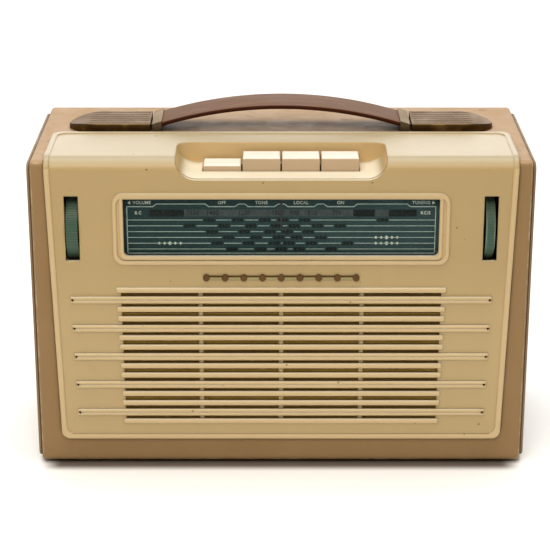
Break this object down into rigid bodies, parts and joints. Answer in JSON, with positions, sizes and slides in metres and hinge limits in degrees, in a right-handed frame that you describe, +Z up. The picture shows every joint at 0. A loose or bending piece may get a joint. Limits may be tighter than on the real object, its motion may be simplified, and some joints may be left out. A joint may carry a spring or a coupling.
{
  "type": "portable radio",
  "caption": "Leathercloth-covered portable radio with a moulded louvred front, long dial, push keys in a recess, thumb wheels and an arched carrying strap.",
  "frame": {"origin": "under the middle of the set, on the plane of its feet", "axes": "+X to the listener's right along the set's width, -Y out of the louvred front, +Z up"},
  "size_m": [0.2922, 0.1222, 0.2075],
  "materials": {
    "leathercloth": "grained leathercloth, satin, rubbed at the edges",
    "plywood": "bare birch plywood",
    "cream_moulding": "aged cream styrene, soft gloss",
    "ivory_keys": "ivory plastic, glossy",
    "green_wheel": "grey-green plastic, fine cross ribs",
    "black_rubber": "black rubber, matte",
    "grille_fabric": "gold-brown woven grille cloth",
    "dial_window": "clear acrylic",
    "dial_print": "dark teal printed plate, pale lines",
    "brass": "aged brass, darkened in the grooves",
    "zinc_steel": "zinc-plated pressed steel",
    "bright_aluminium": "plain aluminium",
    "dark_metal": "black-lacquered steel",
    "strap_leather": "smooth brown strap leather with dark edges",
    "card_laminate": "brown phenolic laminate",
    "component_mix": "coated electronic parts",
    "white_cord": "waxed drive cord",
    "paper_cone": "dark moulded paper",
    "ferrite": "dark grey ferrite",
    "copper_winding": "enamelled copper wire on card formers",
    "battery_case": "printed battery case, plain bands",
    "lead_insulation": "flexible lead insulation"
  },
  "bodies": {
    "root": {"cabinet_shell": "plywood", "leathercloth": "leathercloth", "end_panel_left": "leathercloth", "end_panel_right": "leathercloth", "baffle_board": "plywood", "feet": "black_rubber", "hinge_pins": "zinc_steel", "front_moulding": "cream_moulding", "name_bar": "brass", "grille_cloth": "grille_fabric", "dial_glass": "dial_window", "dial_scale": "dial_print", "key_frame": "zinc_steel", "tone_spring": "zinc_steel", "local_spring": "zinc_steel", "volume_pot": "zinc_steel", "dial_chassis": "zinc_steel", "pointer_rail": "zinc_steel", "cord_guides": "brass", "drive_cord": "white_cord", "gang_frame": "zinc_steel", "speaker_basket": "dark_metal", "speaker_magnet": "dark_metal", "speaker_cone": "paper_cone", "dust_cap": "paper_cone", "speaker_screws": "zinc_steel", "circuit_board": "card_laminate", "board_brackets": "zinc_steel", "if_cans": "bright_aluminium", "transistors": "dark_metal", "capacitors": "component_mix", "resistors": "component_mix", "driver_transformer": "dark_metal", "output_transformer": "dark_metal", "ferrite_rod": "ferrite", "aerial_coils": "copper_winding", "rod_clips": "black_rubber", "battery": "battery_case", "battery_clamp": "zinc_steel", "battery_leads": "lead_insulation", "handle_cap_left": "brass", "handle_cap_right": "brass"},
    "off_key": {"key_off": "ivory_keys"},
    "tone_key": {"key_tone": "ivory_keys"},
    "local_key": {"key_local": "ivory_keys"},
    "on_key": {"key_on": "ivory_keys"},
    "rocker": {"interlock_rocker": "zinc_steel"},
    "volume": {"volume_wheel": "green_wheel"},
    "tuning": {"tuning_wheel": "green_wheel", "cord_drum": "brass"},
    "pointer_carriage": {"pointer": "dark_metal"},
    "gang": {"gang_rotor": "bright_aluminium", "drive_disc": "bright_aluminium"},
    "cover": {"rear_cover": "leathercloth", "cover_pull": "strap_leather"},
    "strap_centre": {"strap_middle": "strap_leather"},
    "strap_left_half": {"strap_left": "strap_leather", "ferrule_left": "brass"},
    "strap_right_half": {"strap_right": "strap_leather", "ferrule_right": "brass"}
  },
  "joints": [
    {"name": "on_press", "type": "slide", "parent": "root", "child": "on_key", "axis": [0, 0, -1], "range_m": [0, 0.0044]},
    {"name": "off_press", "type": "slide", "parent": "root", "child": "off_key", "axis": [0, 0, -1], "range_m": [-0.0044, 0]},
    {"name": "rocker_tip", "type": "hinge", "parent": "root", "child": "rocker", "pos_m": [0, -0.0287, 0.155], "axis": [0, 1, 0], "range_deg": [0, 7.4]},
    {"name": "tone_press", "type": "slide", "parent": "root", "child": "tone_key", "axis": [0, 0, -1], "range_m": [0, 0.0044], "stiffness_N_per_m": 300, "springref_m": -0.003, "deforming": ["tone_spring"]},
    {"name": "local_press", "type": "slide", "parent": "root", "child": "local_key", "axis": [0, 0, -1], "range_m": [0, 0.0044], "stiffness_N_per_m": 300, "springref_m": -0.003, "deforming": ["local_spring"]},
    {"name": "volume_turn", "type": "hinge", "parent": "root", "child": "volume", "pos_m": [-0.1206, -0.0396, 0.14775], "axis": [1, 0, 0], "range_deg": [-135, 135]},
    {"name": "tuning_turn", "type": "hinge", "parent": "root", "child": "tuning", "pos_m": [0.1206, -0.0396, 0.14775], "axis": [1, 0, 0], "range_deg": [-396, 396]},
    {"name": "pointer_travel", "type": "slide", "parent": "root", "child": "pointer_carriage", "axis": [1, 0, 0], "range_m": [-0.045, 0.045]},
    {"name": "gang_turn", "type": "hinge", "parent": "root", "child": "gang", "pos_m": [0.08, -0.015, 0.14775], "axis": [1, 0, 0], "range_deg": [-90.5, 90.5]},
    {"name": "cover_open", "type": "hinge", "parent": "root", "child": "cover", "pos_m": [0, 0.0559, 0.0162], "axis": [-1, 0, 0], "range_deg": [0, 88]},
    {"name": "handle_lift", "type": "slide", "parent": "root", "child": "strap_centre", "axis": [0, 0, 1], "range_m": [-0.005, 0.006], "stiffness_N_per_m": 2000},
    {"name": "strap_left_bend", "type": "hinge", "parent": "strap_centre", "child": "strap_left_half", "pos_m": [-0.012, 0.016, 0.206], "axis": [0, 1, 0], "range_deg": [-4.9, 4.1]},
    {"name": "strap_right_bend", "type": "hinge", "parent": "strap_centre", "child": "strap_right_half", "pos_m": [0.012, 0.016, 0.206], "axis": [0, 1, 0], "range_deg": [-4.1, 4.9]}
  ],
  "couplings": [
    {"joint": "off_press", "follows": "on_press", "ratio": -1},
    {"joint": "rocker_tip", "follows": "on_press", "rad_per_m": 29.27},
    {"joint": "pointer_travel", "follows": "tuning_turn", "m_per_rad": 0.0065},
    {"joint": "gang_turn", "follows": "tuning_turn", "ratio": -0.22727},
    {"joint": "strap_left_bend", "follows": "handle_lift", "rad_per_m": -14.04},
    {"joint": "strap_right_bend", "follows": "handle_lift", "rad_per_m": 14.04}
  ]
}
